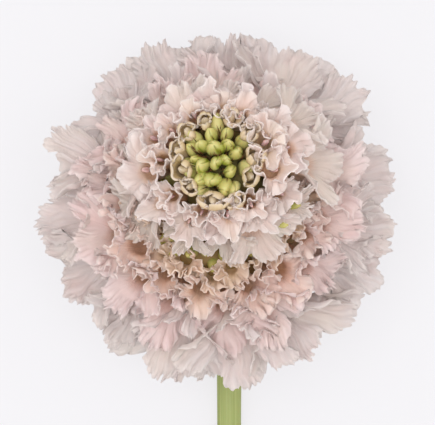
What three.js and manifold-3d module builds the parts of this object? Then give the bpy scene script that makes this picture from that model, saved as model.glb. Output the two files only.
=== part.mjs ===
// A cut scabiosa flower of the double-headed kind, lying on its back on a flat surface.
// Units are millimetres, +Z is up, the stem lies along -Y and the head is at the +Y end.
//
// The head has two storeys. The lower head is a ball of frilled pink florets, and a short neck
// rises from its middle and carries the crown, a smaller head of the same make. In each, closed
// green buds stand in the middle, half-open tan florets ring them, and wide rays are outermost.
// A place on a head is given by its polar angle, from the axis that the head faces along, and its
// azimuth round that axis.
import * as THREE from "three";
import { mergeVertices } from "three/addons/utils/BufferGeometryUtils.js";
import Module from "manifold-3d";

const wasm = await Module();
wasm.setup();
const { Manifold, Mesh } = wasm;

// ---------------------------------------------------------------- driving dimensions

const GAP = 0.3; // clearance between neighbouring nodes
const BLADE = 0.65; // thickness of a petal or a bract

const HEAD = new THREE.Vector3(-2.6, 47, 28.2); // middle of the lower cushion
const HEAD_LEAN = [8, 0]; // degrees that the head faces off the vertical, towards +Y and +X
const CUSHION_R = 10;
const NECK_R = 4;
const CROWN_AT = new THREE.Vector3(0.9, 8.1, 16); // the crown's middle from the lower one's
const CROWN_LEAN = [12, -10];
const CROWN_CUSHION_R = 5.5;

const STEM_R = 2.75;
const STEM_RIBS = 6;
const RIB_DEPTH = 0.3;
const STEM_STEPS = 18;
const STEM_BEND_R = 27; // centreline radius of the bend behind the head
const STEM_LEAN = 18; // degrees from the vertical where it meets the head
const STEM_LIE = 62; // length that lies on the surface
const CUT_SLANT = 40; // degrees between the cut face and a square cut

const GOLDEN = 137.508; // degrees between one floret and the next on a spiral, which fills a wide band
const RAD = Math.PI / 180;
const ROUND = 14; // sides of a body of revolution
const FAR = 60; // beyond every petal

// The surfaces that part one kind of floret from the next: turned round the head's axis through
// [radius, height] points from the head's middle outwards, then made wider than tall by a share.
const BACK = { line: [[0, 0], [9, -4.8], [20, -12.5], [34, -23], [FAR, -42]] };
const RAY_TOP = {
  line: [[0, 0], [13, 6.5], [18.6, 9.3], [19.6, 10.5], [20.6, 12.5], [22, 17], [23.5, FAR]],
};
const INNER_TOP = { line: [[0, 0], [9.8, 10.7], [11.6, 12.8], [12, 14.5], [12.6, 17], [13.6, FAR]] };
const SAUCER = { line: [[0, -1.4], [6, -1.6], [10, -2.3], [15, -3], [21, -4.8], [27, -7], [FAR, -8]] };
const CROWN_RAY_TOP = {
  line: [[0, 0], [4.6, 4], [7.9, 6.6], [9.2, 8.2], [10.2, 11], [12, FAR]], oval: -0.05,
};
const CROWN_INNER_TOP = {
  line: [[0, 0], [3.4, 4.9], [5, 7.2], [5.6, 9.4], [6.2, 12], [7, FAR]], oval: -0.15,
};

// Each kind of floret: how many, the azimuth from one to the next and of the first, the polar angles
// that they fill, how far their mouths are from the middle of the head, the share of its polar angle
// that a floret faces at, the mouth's radius, how far the petals reach on the outer and inner side,
// how many degrees they lean off the floret's own axis there, how far the outer ones spread for each
// degree round the mouth, how deep the frill is, how many sides a floret has, and how much wider than
// tall its ring is. Other pairs run from the first floret to the last.
const FANS = {
  count: 11, step: (360 * 4) / 11, from: 62, polar: [76, 90], mouth: [23.5, 24], facing: 0.96,
  throat: 3, outer: [15.6, 17.6], inner: [6.5, 7], lean: [34, 24], innerLean: [22, 30], splay: 0.66,
  frill: 1, sides: 6, oval: 0, seed: 1,
};
const BACK_FANS = {
  ...FANS, count: 9, step: (360 * 4) / 9, from: 48, polar: [91, 110], outer: [17, 18.6],
  lean: [22, 6], innerLean: [30, 34], seed: 11,
};
const FRILLS = {
  count: 11, step: 360 / 11, from: 350, polar: [66, 72], mouth: [22, 22.5], facing: 0.62,
  throat: 2.6, outer: [8, 9], inner: [5, 5.6], lean: [34, 38], innerLean: [20, 24], splay: 0.9,
  frill: 1, sides: 5, oval: 0, seed: 7,
};
const PEACHES = {
  ...FRILLS, count: 8, step: 360 / 8, from: 5, polar: [56, 61], mouth: [20.5, 21], facing: 0.5,
  outer: [6, 6.8], inner: [4.6, 5.2], lean: [28, 30], innerLean: [18, 22], frill: 0.8, seed: 12,
};
const TANS = {
  ...FRILLS, count: 7, step: 360 / 7, from: 100, polar: [45, 50], mouth: [18.6, 19], facing: 0.35,
  throat: 2.1, outer: [4, 4.6], inner: [3.4, 3.8], lean: [22, 26], innerLean: [18, 22], splay: 1,
  frill: 0.6, seed: 2,
};
const CROWN_RAYS = {
  count: 10, step: (360 * 3) / 10, from: 150, polar: [77, 86], mouth: [13.4, 13.2], facing: 0.86,
  throat: 2.1, outer: [8.8, 10], inner: [3.6, 3.8], lean: [38, 28], innerLean: [20, 26], splay: 0.74,
  frill: 0.6, sides: 6, oval: 0.14, seed: 3,
};
const WIDE_FUNNELS = {
  count: 9, step: 360 / 9, from: 5, polar: [62, 67], mouth: [13.3, 13.5], facing: 0.5,
  throat: 1.6, outer: [5.8, 6.6], inner: [3.2, 3.6], lean: [34, 38], innerLean: [22, 26], splay: 0.9,
  frill: 0.6, sides: 5, oval: 0.08, seed: 9,
};
const FUNNELS = {
  ...WIDE_FUNNELS, count: 8, step: 360 / 8, from: 20, polar: [51, 56], mouth: [12.3, 12.6],
  facing: 0.3, throat: 1.5, outer: [3.4, 4], inner: [2.6, 3], lean: [28, 32], innerLean: [18, 24],
  splay: 1, frill: 0.4, oval: 0.02, seed: 8,
};
const CUPS = {
  ...FUNNELS, count: 7, step: (360 * 3) / 7, from: 200, polar: [37, 48], mouth: [10.6, 11.6],
  throat: 1.6, outer: [1.8, 1.6], inner: [1.6, 1.4], lean: [12, 16], innerLean: [10, 14],
  frill: 0.2, oval: -0.1, seed: 4,
};

// Each kind of closed bud: how many, their azimuths and polar angles as above, the distance of a
// bud's middle from the middle of the head, and its half width and half length.
const LOWER_BUDS = {
  count: 8, step: 360 / 8, from: 270, polar: [33, 40], middle: [17, 17.6], half: [1.8, 2.6],
  oval: 0, seed: 5,
};
const CROWN_BUDS = {
  count: 13, step: GOLDEN, from: 300, polar: [5, 32], middle: [10.4, 9.8], half: [1.4, 2.2],
  oval: -0.2, seed: 6,
};
const HALF_BUDS = {
  ...CROWN_BUDS, count: 3, step: 360 / 3, from: 170, polar: [34, 38], middle: [10.2, 10.4], seed: 13,
};

// The bands of packed tubes that each node's florets grow from: thickness and polar angles.
const RAY_BAND = [7, 60, 110];
const INNER_BAND = [6.5, 40, 64];
const BUD_BAND = [5, 18, 44];
const CROWN_RAY_BAND = [4.2, 46, 98];
const CROWN_INNER_BAND = [3, 32, 52];
const CROWN_BUD_BAND = [2, 0, 38];

const BUD_SIDES = 6;

const BRACTS = { count: 12, length: 19, width: 4.6, polar: 128, arch: 3.4 };

// Colour and roughness of each kind.
const FINISH = {
  stem: ["#a2a96d", 0.6],
  bract: ["#7f9450", 0.65],
  bud: ["#a9b04a", 0.5],
  crownBud: ["#a4b637", 0.5],
  ray: ["#dcc6c1", 0.75],
  inner: ["#c9ab92", 0.75],
  crownRay: ["#ddcdc4", 0.75],
  crownInner: ["#b7a573", 0.7],
};

// ---------------------------------------------------------------- small helpers

const mix = (pair, t) => pair[0] + (pair[1] - pair[0]) * t;

// A repeatable draw from -1 to 1 for piece i of a kind, from the digits of a large sine.
const draw = (seed, i, which) => {
  const wave = Math.sin(seed * 78.233 + i * 12.9898 + which * 37.719) * 43758.5453;
  return 2 * (wave - Math.floor(wave)) - 1;
};

// The turn of what faces off the vertical by these degrees towards +Y and +X.
const leaned = ([back, right]) =>
  new THREE.Quaternion().setFromEuler(new THREE.Euler(-back * RAD, right * RAD, 0));

// Each head: where it is, how it is turned, and the radius of its cushion.
const LOWER = { at: HEAD, turn: leaned(HEAD_LEAN), cushion: CUSHION_R };
const CROWN = { at: HEAD.clone().add(CROWN_AT), turn: leaned(CROWN_LEAN), cushion: CROWN_CUSHION_R };

// The direction in the part's frame of a place on a head, whose ring may be wider than tall.
const towards = (head, polar, azimuth, oval = 1) =>
  new THREE.Vector3(
    Math.sin(polar * RAD) * Math.cos(azimuth * RAD) * oval,
    Math.sin(polar * RAD) * Math.sin(azimuth * RAD) * oval,
    Math.cos(polar * RAD),
  ).applyQuaternion(head.turn);

// The point at a distance from a head's middle in a direction.
const pointAt = (head, direction, distance) => head.at.clone().addScaledVector(direction, distance);

// A closed BufferGeometry as a solid, with its shared vertices merged and its empty faces dropped.
function solidOf(geometry) {
  const bare = new THREE.BufferGeometry();
  bare.setAttribute("position", geometry.getAttribute("position"));
  if (geometry.index) bare.setIndex(geometry.index);
  const merged = mergeVertices(bare, 1e-4);
  const corners = merged.index.array;
  const kept = [];
  for (let i = 0; i < corners.length; i += 3) {
    const [a, b, c] = [corners[i], corners[i + 1], corners[i + 2]];
    if (a !== b && b !== c && a !== c) kept.push(a, b, c);
  }
  return new Manifold(
    new Mesh({
      numProp: 3,
      vertProperties: merged.attributes.position.array,
      triVerts: new Uint32Array(kept),
    }),
  );
}

// A solid as a named mesh with the finish of its kind.
function meshOf(name, solid, finish) {
  const { numProp, numVert, vertProperties, triVerts } = solid.getMesh();
  const positions = new Float32Array(numVert * 3);
  for (let i = 0; i < numVert; i++) {
    positions.set(vertProperties.subarray(i * numProp, i * numProp + 3), i * 3);
  }
  const geometry = new THREE.BufferGeometry();
  geometry.setAttribute("position", new THREE.BufferAttribute(positions, 3));
  geometry.setIndex(new THREE.BufferAttribute(triVerts, 1));
  geometry.computeVertexNormals();
  const [color, roughness] = finish;
  const mesh = new THREE.Mesh(
    geometry,
    new THREE.MeshStandardMaterial({ color, roughness, metalness: 0 }),
  );
  mesh.name = name;
  return mesh;
}

// The largest piece of a solid, with sealed hollows filled and loose scraps dropped.
function oneBody(solid) {
  const pieces = solid.decompose();
  return pieces.reduce((best, piece) => (piece.volume() > best.volume() ? piece : best));
}

// A body of revolution on a head, from a closed outline of [radius, height] points that runs
// counterclockwise, then made wider than tall by a share.
function turned(head, outline, oval = 0) {
  const points = [...outline, outline[0]].map(([r, z]) => new THREE.Vector2(Math.max(r, 0), z));
  const lathe = new THREE.LatheGeometry(points, ROUND).rotateX(Math.PI / 2);
  lathe.scale(1 + oval, 1 - oval, 1);
  return solidOf(lathe.applyQuaternion(head.turn).translate(...head.at));
}

// Everything in front of a dividing surface, which is moved forward or back along its normal.
function ahead(head, { line, oval }, distance) {
  const moved = line.map((point, i) => {
    const before = line[Math.max(i - 1, 0)];
    const after = line[Math.min(i + 1, line.length - 1)];
    const [dr, dz] = [after[0] - before[0], after[1] - before[1]];
    const length = Math.hypot(dr, dz);
    return [point[0] - (dz / length) * distance, point[1] + (dr / length) * distance];
  });
  return turned(head, [...moved, [0, FAR + 1]], oval);
}

// The space between two dividing surfaces, less half a gap at either.
const between = (head, back, front) =>
  ahead(head, back, GAP / 2).subtract(ahead(head, front, -GAP / 2));

// The packed tubes at the florets' roots: a cap over the cushion, between two polar angles.
function rootBand(head, [thickness, low, high]) {
  const STEPS = 3;
  const arc = Array.from({ length: STEPS + 1 }, (_, i) => {
    const angle = mix([high, low], i / STEPS) * RAD;
    const r = head.cushion + thickness;
    return [r * Math.sin(angle), r * Math.cos(angle)];
  });
  return turned(head, [[0, 0], ...arc]);
}

// A closed surface from a first point over rings of equally many points to a last point.
function skinned(first, rings, last) {
  const count = rings[0].length;
  const vertices = [first, ...rings.flat(), last];
  const at = (ring, k) => 1 + ring * count + (k % count);
  const faces = [];
  for (let k = 0; k < count; k++) {
    faces.push(0, at(0, k + 1), at(0, k));
    for (let ring = 0; ring + 1 < rings.length; ring++) {
      faces.push(at(ring, k), at(ring, k + 1), at(ring + 1, k + 1));
      faces.push(at(ring, k), at(ring + 1, k + 1), at(ring + 1, k));
    }
    faces.push(at(rings.length - 1, k), at(rings.length - 1, k + 1), vertices.length - 1);
  }
  const geometry = new THREE.BufferGeometry();
  const flat = vertices.flatMap((v) => [v.x, v.y, v.z]);
  geometry.setAttribute("position", new THREE.Float32BufferAttribute(flat, 3));
  geometry.setIndex(faces);
  return solidOf(geometry);
}

// ---------------------------------------------------------------- florets and buds

// One funnel-shaped floret: a cone from its root to the throat, then a frilled flare. Its outer
// petals lie in one leaning plane, and its inner ones stand round the throat as a cone.
function floret(place) {
  const { root, mouth, axis, outward, throat, outer, inner, lean, innerLean } = place;
  const { splay, frill, sides, phase } = place;
  const out = outward.clone().addScaledVector(axis, -outward.dot(axis)).normalize();
  const side = axis.clone().cross(out);
  const vector = (up, outwards, sideways) =>
    axis
      .clone()
      .multiplyScalar(up)
      .addScaledVector(out, outwards)
      .addScaledVector(side, sideways);
  const rim = (share, lift) =>
    Array.from({ length: sides }, (_, k) => {
      const around = THREE.MathUtils.euclideanModulo((2 * Math.PI * (k + phase)) / sides, 2 * Math.PI);
      const turn = around > Math.PI ? around - 2 * Math.PI : around;
      const [c, z] = [Math.cos(turn), Math.sin(turn)];
      const outness = 1 - THREE.MathUtils.smoothstep(Math.abs(turn), 1.8, 2.4);
      const [cosOut, sinOut] = [Math.cos(lean * RAD), Math.sin(lean * RAD)];
      const [cosIn, sinIn] = [Math.cos(innerLean * RAD), Math.sin(innerLean * RAD)];
      const fan = Math.cos(splay * turn);
      const way = vector(cosIn, sinIn * c, sinIn * z)
        .lerp(vector(fan * cosOut, fan * sinOut, Math.sin(splay * turn)), outness)
        .normalize();
      const face = vector(sinIn, -cosIn * c, -cosIn * z)
        .lerp(vector(sinOut, -cosOut, 0), outness)
        .normalize();
      const wave = (k % 2 ? 1 : -1) * frill * share;
      return mouth
        .clone()
        .add(vector(0, c * throat, z * throat))
        .addScaledVector(way, mix([inner, outer], outness) * share)
        .addScaledVector(face, wave + lift);
    });
  const well = mouth.clone().addScaledVector(axis, -throat * 0.5);
  return skinned(root, [rim(0, 0), rim(1, 0), rim(1, BLADE)], well);
}

// The places of a kind, which fill its band of a head evenly.
function places({ count, step, from, polar, oval, seed }) {
  const [low, high] = polar.map((angle) => Math.cos(angle * RAD));
  return Array.from({ length: count }, (_, i) => {
    const t = (i + 0.5) / count;
    const azimuth = from + i * step + draw(seed, i, 0) * 4;
    const wide = 1 + oval * Math.cos(2 * azimuth * RAD);
    return {
      i,
      t,
      azimuth,
      angle: Math.acos(mix([low, high], t)) / RAD + draw(seed, i, 1) * 1.5,
      wide,
      size: wide * (1 + 0.08 * draw(seed, i, 2)),
    };
  });
}

// All the florets of a kind, with their roots sunk into the band that they grow from.
function florets(head, kind, band) {
  return places(kind).map(({ i, t, azimuth, angle, wide, size }) => {
    const axis = towards(head, angle * kind.facing, azimuth);
    return floret({
      root: pointAt(head, towards(head, angle, azimuth), head.cushion + band[0] * 0.6),
      mouth: pointAt(head, towards(head, angle, azimuth, wide), mix(kind.mouth, t)),
      axis,
      outward: towards(head, angle * kind.facing + 5, azimuth).sub(axis),
      throat: kind.throat * size,
      outer: mix(kind.outer, t) * size,
      inner: mix(kind.inner, t) * size,
      lean: mix(kind.lean, t),
      innerLean: mix(kind.innerLean, t),
      splay: kind.splay,
      frill: kind.frill,
      sides: kind.sides,
      phase: draw(kind.seed, i, 3) / 4,
    });
  });
}

// One closed bud: a plump spindle along its own axis, grooved between its folded lobes.
function bud(middle, axis, half) {
  const side = new THREE.Vector3(1, 0, 0).cross(axis).normalize();
  const across = axis.clone().cross(side);
  const ring = (height, width) =>
    Array.from({ length: BUD_SIDES }, (_, k) => {
      const turn = (2 * Math.PI * k) / BUD_SIDES;
      const r = half[0] * width * (k % 2 ? 0.84 : 1);
      return middle
        .clone()
        .addScaledVector(axis, half[1] * height)
        .addScaledVector(side, r * Math.cos(turn))
        .addScaledVector(across, r * Math.sin(turn));
    });
  const foot = middle.clone().addScaledVector(axis, -half[1] * 1.6);
  const tip = middle.clone().addScaledVector(axis, half[1] * 0.94);
  return skinned(foot, [ring(-0.5, 0.75), ring(0.2, 1), ring(0.8, 0.6)], tip);
}

// All the buds of a kind.
function buds(head, kind) {
  return places(kind).map(({ t, azimuth, angle, wide, size }) => {
    const along = towards(head, angle, azimuth, wide);
    const middle = pointAt(head, along, mix(kind.middle, t));
    return bud(middle, along.normalize(), kind.half.map((h) => h * size));
  });
}

// ---------------------------------------------------------------- the green parts

// The stem's outline: flat-topped ribs, one of them along +X, which the sweep turns downwards so
// that the stem lies flat.
function stemSection() {
  const step = (2 * Math.PI) / STEM_RIBS;
  const points = Array.from({ length: STEM_RIBS }, (_, rib) => [
    [(rib - 0.22) * step, STEM_R / Math.cos(step * 0.22)],
    [(rib + 0.22) * step, STEM_R / Math.cos(step * 0.22)],
    [(rib + 0.5) * step, STEM_R - RIB_DEPTH],
  ]).flat();
  return new THREE.Shape(
    points.map(([angle, r]) => new THREE.Vector2(r * Math.cos(angle), r * Math.sin(angle))),
  );
}

// The stem's centreline: straight along the surface, an arc up, then straight into the head's back,
// drifting sideways to the head on the way.
class StemLine extends THREE.Curve {
  constructor() {
    super();
    this.sweep = (90 - STEM_LEAN) * RAD;
    this.arc = STEM_BEND_R * this.sweep;
    const axis = new THREE.Vector3(0, Math.sin(STEM_LEAN * RAD), Math.cos(STEM_LEAN * RAD));
    const top = HEAD.clone().addScaledVector(axis, -CUSHION_R * 0.6);
    this.run = (top.z - STEM_R - STEM_BEND_R * (1 - Math.cos(this.sweep))) / axis.z;
    this.bendY = top.y - this.run * axis.y - STEM_BEND_R * Math.sin(this.sweep);
  }

  getPoint(t, target = new THREE.Vector3()) {
    const along = t * (STEM_LIE + this.arc + this.run) - STEM_LIE;
    const angle = THREE.MathUtils.clamp(along / STEM_BEND_R, 0, this.sweep);
    const past = Math.max(along - this.arc, 0);
    const drift = Math.max(along, 0) / (this.arc + this.run);
    return target.set(
      HEAD.x * drift ** 2,
      this.bendY + Math.min(along, 0) + STEM_BEND_R * Math.sin(angle) + past * Math.cos(angle),
      STEM_R + STEM_BEND_R * (1 - Math.cos(angle)) + past * Math.sin(angle),
    );
  }
}

// The stem from its slanting cut along the surface and up into the lower cushion.
function stem() {
  const line = new StemLine();
  const tube = solidOf(
    new THREE.ExtrudeGeometry(stemSection(), { steps: STEM_STEPS, extrudePath: line }),
  );
  const [cos, sin] = [Math.cos(CUT_SLANT * RAD), Math.sin(CUT_SLANT * RAD)];
  const cutAt = line.bendY - STEM_LIE + 2 * STEM_R * Math.tan(CUT_SLANT * RAD);
  return tube.trimByPlane([0, cos, sin], cutAt * cos);
}

// What the florets stand on: lower cushion, neck and crown's cushion, all grown by a distance.
function core(grow) {
  const ball = (head) => {
    const sphere = new THREE.SphereGeometry(head.cushion + grow, ROUND, 8).rotateX(Math.PI / 2);
    return solidOf(sphere.applyQuaternion(head.turn).translate(...head.at));
  };
  const [r, long] = [NECK_R + grow, CROWN_AT.length()];
  const up = new THREE.Vector3(0, 0, 1);
  const way = new THREE.Quaternion().setFromUnitVectors(up, CROWN_AT.clone().normalize());
  const neck = turned({ at: HEAD, turn: way }, [[0, 0], [r, 0], [r, long], [0, long]]);
  return Manifold.union([ball(LOWER), neck, ball(CROWN)]);
}

// The ring of narrow green bracts behind the lower head, on the collar that they grow from.
function involucre(coreGap) {
  const blades = Array.from({ length: BRACTS.count }, (_, i) => {
    const azimuth = (360 * i) / BRACTS.count + 15 + draw(7, i, 0) * 3;
    return bract(azimuth, BRACTS.length * (i % 2 ? 0.84 : 1) * (1 + 0.06 * draw(7, i, 1)));
  });
  const collar = rootBand(LOWER, [1.6, 122, 148]).subtract(ahead(LOWER, BACK, -GAP));
  return oneBody(Manifold.union([collar, ...blades]).subtract(coreGap));
}

// One bract: a pointed, keeled blade that arches back from the collar.
function bract(azimuth, long) {
  const along = towards(LOWER, BRACTS.polar - 8, azimuth);
  const up = towards(LOWER, BRACTS.polar - 98, azimuth);
  const side = up.clone().cross(along);
  const start = pointAt(LOWER, towards(LOWER, BRACTS.polar, azimuth), CUSHION_R + 0.6);
  const stations = [[0, 0.5], [0.4, 0.48], [0.75, 0.32], [1, 0.07]];
  const rings = stations.map(([share, half]) => {
    const corner = (across, lift) =>
      start
        .clone()
        .addScaledVector(along, share * long)
        .addScaledVector(side, across * half * BRACTS.width)
        .addScaledVector(up, lift - BRACTS.arch * share ** 2);
    const lower = [corner(-1, 0.3), corner(0, 0), corner(1, 0.3)];
    return [...lower, corner(1, 0.3 + BLADE), corner(0, BLADE), corner(-1, 0.3 + BLADE)];
  });
  const middleOf = (ring) =>
    ring.reduce((sum, p) => sum.add(p), new THREE.Vector3()).multiplyScalar(1 / ring.length);
  return skinned(middleOf(rings[0]), rings, middleOf(rings.at(-1)));
}

// ---------------------------------------------------------------- assembly

const coreGap = core(GAP);

// A band and the pieces that grow from it in one body, kept inside its own space, off the core and
// above the surface.
const joined = (head, band, pieces, space) =>
  oneBody(
    Manifold.union([rootBand(head, band), ...pieces.flat()])
      .intersect(space)
      .subtract(coreGap)
      .trimByPlane([0, 0, 1], 0)
      .simplify(0.3),
  );

const outsideCrown = (solid) => solid.subtract(ahead(CROWN, SAUCER, -GAP / 2));

const lowerRays = joined(
  LOWER,
  RAY_BAND,
  [FANS, BACK_FANS, FRILLS].map((kind) => florets(LOWER, kind, RAY_BAND)),
  outsideCrown(between(LOWER, BACK, RAY_TOP)),
);
const lowerInner = joined(
  LOWER,
  INNER_BAND,
  [PEACHES, TANS].map((kind) => florets(LOWER, kind, INNER_BAND)),
  outsideCrown(between(LOWER, RAY_TOP, INNER_TOP)),
);
const lowerBuds = joined(
  LOWER,
  BUD_BAND,
  buds(LOWER, LOWER_BUDS),
  outsideCrown(ahead(LOWER, INNER_TOP, GAP / 2)),
);
const crownRays = joined(
  CROWN,
  CROWN_RAY_BAND,
  [CROWN_RAYS, WIDE_FUNNELS, FUNNELS].map((kind) => florets(CROWN, kind, CROWN_RAY_BAND)),
  between(CROWN, SAUCER, CROWN_RAY_TOP),
);
const crownInner = joined(
  CROWN,
  CROWN_INNER_BAND,
  [florets(CROWN, CUPS, CROWN_INNER_BAND), buds(CROWN, HALF_BUDS)],
  between(CROWN, CROWN_RAY_TOP, CROWN_INNER_TOP),
);
const crownBuds = joined(
  CROWN,
  CROWN_BUD_BAND,
  buds(CROWN, CROWN_BUDS),
  ahead(CROWN, CROWN_INNER_TOP, GAP / 2),
);

const flower = new THREE.Group();
flower.name = "scabiosa_flower";
flower.add(
  meshOf("stem_and_cushions", oneBody(stem().add(core(0))), FINISH.stem),
  meshOf("involucre_bracts", involucre(coreGap), FINISH.bract),
  meshOf("lower_ray_florets", lowerRays, FINISH.ray),
  meshOf("lower_inner_florets", lowerInner, FINISH.inner),
  meshOf("lower_buds", lowerBuds, FINISH.bud),
  meshOf("crown_ray_florets", crownRays, FINISH.crownRay),
  meshOf("crown_inner_florets", crownInner, FINISH.crownInner),
  meshOf("crown_buds", crownBuds, FINISH.crownBud),
);

// The part's origin is the middle of its footprint.
const box = new THREE.Box3().setFromObject(flower, true);
flower.position.set(-(box.min.x + box.max.x) / 2, -(box.min.y + box.max.y) / 2, -box.min.z);

export default flower;
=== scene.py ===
"""A cut, double-headed scabiosa lying on its back: the dressed part.

Lengths are millimetres until a mesh is made, where they become metres. A place on a head is given
by its polar angle, from the axis that the head faces along, and its azimuth round that axis.
"""

import math

import bpy
import numpy as np
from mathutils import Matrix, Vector


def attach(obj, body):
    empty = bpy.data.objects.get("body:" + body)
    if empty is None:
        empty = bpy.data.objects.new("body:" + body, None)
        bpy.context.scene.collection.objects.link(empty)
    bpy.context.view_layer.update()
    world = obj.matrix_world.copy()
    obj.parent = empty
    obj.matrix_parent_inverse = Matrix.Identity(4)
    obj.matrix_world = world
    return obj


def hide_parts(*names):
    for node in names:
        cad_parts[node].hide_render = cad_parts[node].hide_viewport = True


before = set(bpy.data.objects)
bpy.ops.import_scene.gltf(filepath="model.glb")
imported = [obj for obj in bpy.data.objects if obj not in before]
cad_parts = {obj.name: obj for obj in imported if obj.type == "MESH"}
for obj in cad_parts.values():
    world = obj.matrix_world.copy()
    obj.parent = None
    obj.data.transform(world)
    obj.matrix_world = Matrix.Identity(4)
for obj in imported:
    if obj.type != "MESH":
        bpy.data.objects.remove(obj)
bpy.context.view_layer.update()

MM = 0.001
GOLDEN = 137.508  # degrees between one floret and the next on a spiral
AHEAD = 5  # degrees of polar angle that tell which way is outward

# ---------------- numbers and directions


def draw(seed, i, which):
    """Repeatable draws from -1 to 1: twice the digits of a large sine, less one."""
    wave = np.sin(seed * 78.233 + i * 12.9898 + which * 37.719) * 43758.5453
    return 2 * (wave - np.floor(wave)) - 1


def mix(pair, t):
    """The value at share t of the way from a pair's first number to its second."""
    return pair[0] + (pair[1] - pair[0]) * t


def smooth(t):
    """0 below 0, 1 above 1, and an S-curve between: 3t^2 - 2t^3."""
    t = np.clip(t, 0, 1)
    return t * t * (3 - 2 * t)


def unit(v):
    """Vectors divided by their lengths."""
    return v / np.maximum(np.linalg.norm(v, axis=-1, keepdims=True), 1e-12)


def circle(columns):
    """Even angles all round."""
    return 2 * np.pi * np.arange(columns) / columns


def turn(axis, degrees):
    """The matrix that turns about X, axis 0, or Y, axis 1."""
    c, s = math.cos(math.radians(degrees)), math.sin(math.radians(degrees))
    return np.roll([[1, 0, 0], [0, c, -s], [0, s, c]], axis, (0, 1))


class Head:
    """A flower head: its middle, the radius of its cushion, and the matrix that leans it."""

    def __init__(self, middle, cushion, turn):
        self.middle, self.cushion, self.turn = np.array(middle, float), cushion, turn

    def towards(self, polar, azimuth, oval=1.0):
        """Vectors to places on the head: a unit sphere's usual coordinates, made wider across the
        axis by the factor oval, then leaned."""
        p, a = np.radians(polar), np.radians(azimuth)
        own = np.sin(p) * np.cos(a) * oval, np.sin(p) * np.sin(a) * oval, np.cos(p) + 0 * a
        return np.stack(np.broadcast_arrays(*own), -1) @ self.turn.T

    def outward(self, polar, azimuth, oval=1.0):
        """Vectors to places on the head, and the directions that lead outward from there."""
        along = self.towards(polar, azimuth, oval)
        return along, unit(self.towards(polar + AHEAD, azimuth, oval) - along)


LOWER = Head((0.46, 26.13, 28.2), 10, turn(0, -8))
CROWN = Head((1.36, 34.23, 44.2), 5.5, turn(0, -12) @ turn(1, -10))

# ---------------- meshes


def placed(name, data):
    """An object that holds this data, put into the scene."""
    made = bpy.data.objects.new(name, data)
    bpy.context.scene.collection.objects.link(made)
    return made


def normals(points):
    """Unit normals of rings of points, (..., ring, around, 3): the way round times the way on."""
    across = np.roll(points, -1, -2) - np.roll(points, 1, -2)
    return unit(np.cross(across, np.gradient(points, axis=-3)))


def skin(name, rings, marks, material, node):
    """Closed bodies from (body, ring, around, 3) points: quads between rings, and at either end a fan
    round the mean of its ring. Marks are point attributes of shape (body, ring, around). The UV map
    holds turns round the ring and millimetres along it."""
    count, rows, columns = rings.shape[:3]
    ends = rings[:, [0, -1]].mean(2)
    points = np.concatenate([rings.reshape(count, -1, 3), ends], 1)
    i, j = np.meshgrid(np.arange(rows - 1), np.arange(columns), indexing="ij")
    at = lambda row, column: row * columns + column % columns
    quads = np.stack([at(i, j), at(i, j + 1), at(i + 1, j + 1), at(i + 1, j)], -1).reshape(-1, 4)
    k = np.arange(columns)
    last = at(rows - 1, 0)
    foot = np.stack([at(0, k + 1), at(0, k), np.full(columns, rows * columns)], -1)
    tip = np.stack([last + k, last + (k + 1) % columns, np.full(columns, rows * columns + 1)], -1)
    fans = np.concatenate([foot, tip])
    step = points.shape[1] * np.arange(count)[:, None, None]
    loops = np.concatenate([(quads + step).reshape(count, -1), (fans + step).reshape(count, -1)], 1)
    sizes = np.tile(np.concatenate([np.full(len(quads), 4), np.full(len(fans), 3)]), count)

    mesh = bpy.data.meshes.new(name)
    mesh.vertices.add(count * points.shape[1])
    mesh.vertices.foreach_set("co", (points * MM).ravel())
    mesh.loops.add(loops.size)
    mesh.loops.foreach_set("vertex_index", loops.ravel().astype(np.int32))
    mesh.polygons.add(len(sizes))
    mesh.polygons.foreach_set("loop_start", np.concatenate([[0], np.cumsum(sizes)[:-1]]))
    mesh.polygons.foreach_set("use_smooth", np.ones(len(sizes), bool))
    mesh.update(calc_edges=True)

    for label, values in marks.items():
        values = np.broadcast_to(values, (count, rows, columns)).reshape(count, -1)
        tips = np.stack([values[:, 0], values[:, -1]], 1)
        mark = mesh.attributes.new(label, "FLOAT", "POINT")
        mark.data.foreach_set("value", np.concatenate([values, tips], 1).ravel().astype(np.float32))

    along = np.linalg.norm(np.diff(rings.mean(0), axis=0), axis=-1).mean(-1)
    along = np.concatenate([[0], np.cumsum(along)])
    quad_u = (j[..., None] + np.array([0, 1, 1, 0])).reshape(-1, 4)
    quad_v = along[(i[..., None] + np.array([0, 0, 1, 1])).reshape(-1, 4)]
    fan_u = np.stack([k + 1, k, k + 0.5, k, k + 1, k + 0.5]).reshape(2, 3, -1).transpose(0, 2, 1)
    fan_v = np.repeat(along[[0, -1]], 3 * columns)
    turns = np.concatenate([quad_u.ravel(), fan_u.ravel()]) / columns
    flat = np.stack([turns, np.concatenate([quad_v.ravel(), fan_v])], -1)
    mesh.uv_layers.new(name="own").data.foreach_set("uv", np.tile(flat.ravel(), count))

    mesh.materials.append(material)
    piece = placed(name, mesh)
    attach(piece, "root")
    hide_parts(node)
    return piece


def wall(sheet, thickness, inside):
    """A sheet of rings as a closed thin wall: its outer face from root to rim, then its inner face
    back to the ring numbered inside, half a thickness to either side along the sheet's normals."""
    half = normals(sheet) * np.asarray(thickness)[..., None] / 2
    return np.concatenate([sheet + half, (sheet - half)[:, :inside - 1:-1]], 1)


def built(start, *parts):
    """A start for each body, plus its directions times amounts over ring and place round it."""
    points = start[:, None, None]
    for way, amount in parts:
        points = points + way[:, None, None] * amount[..., None]
    return points


def press(points, room=1.6):
    """What is lower than room above the surface bends along it: z becomes room exp(z/room - 1)."""
    z = points[..., 2]
    points[..., 2] = np.where(z < room, room * np.exp(np.minimum(z, room) / room - 1), z)
    return points


# ---------------- places and directions


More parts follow.
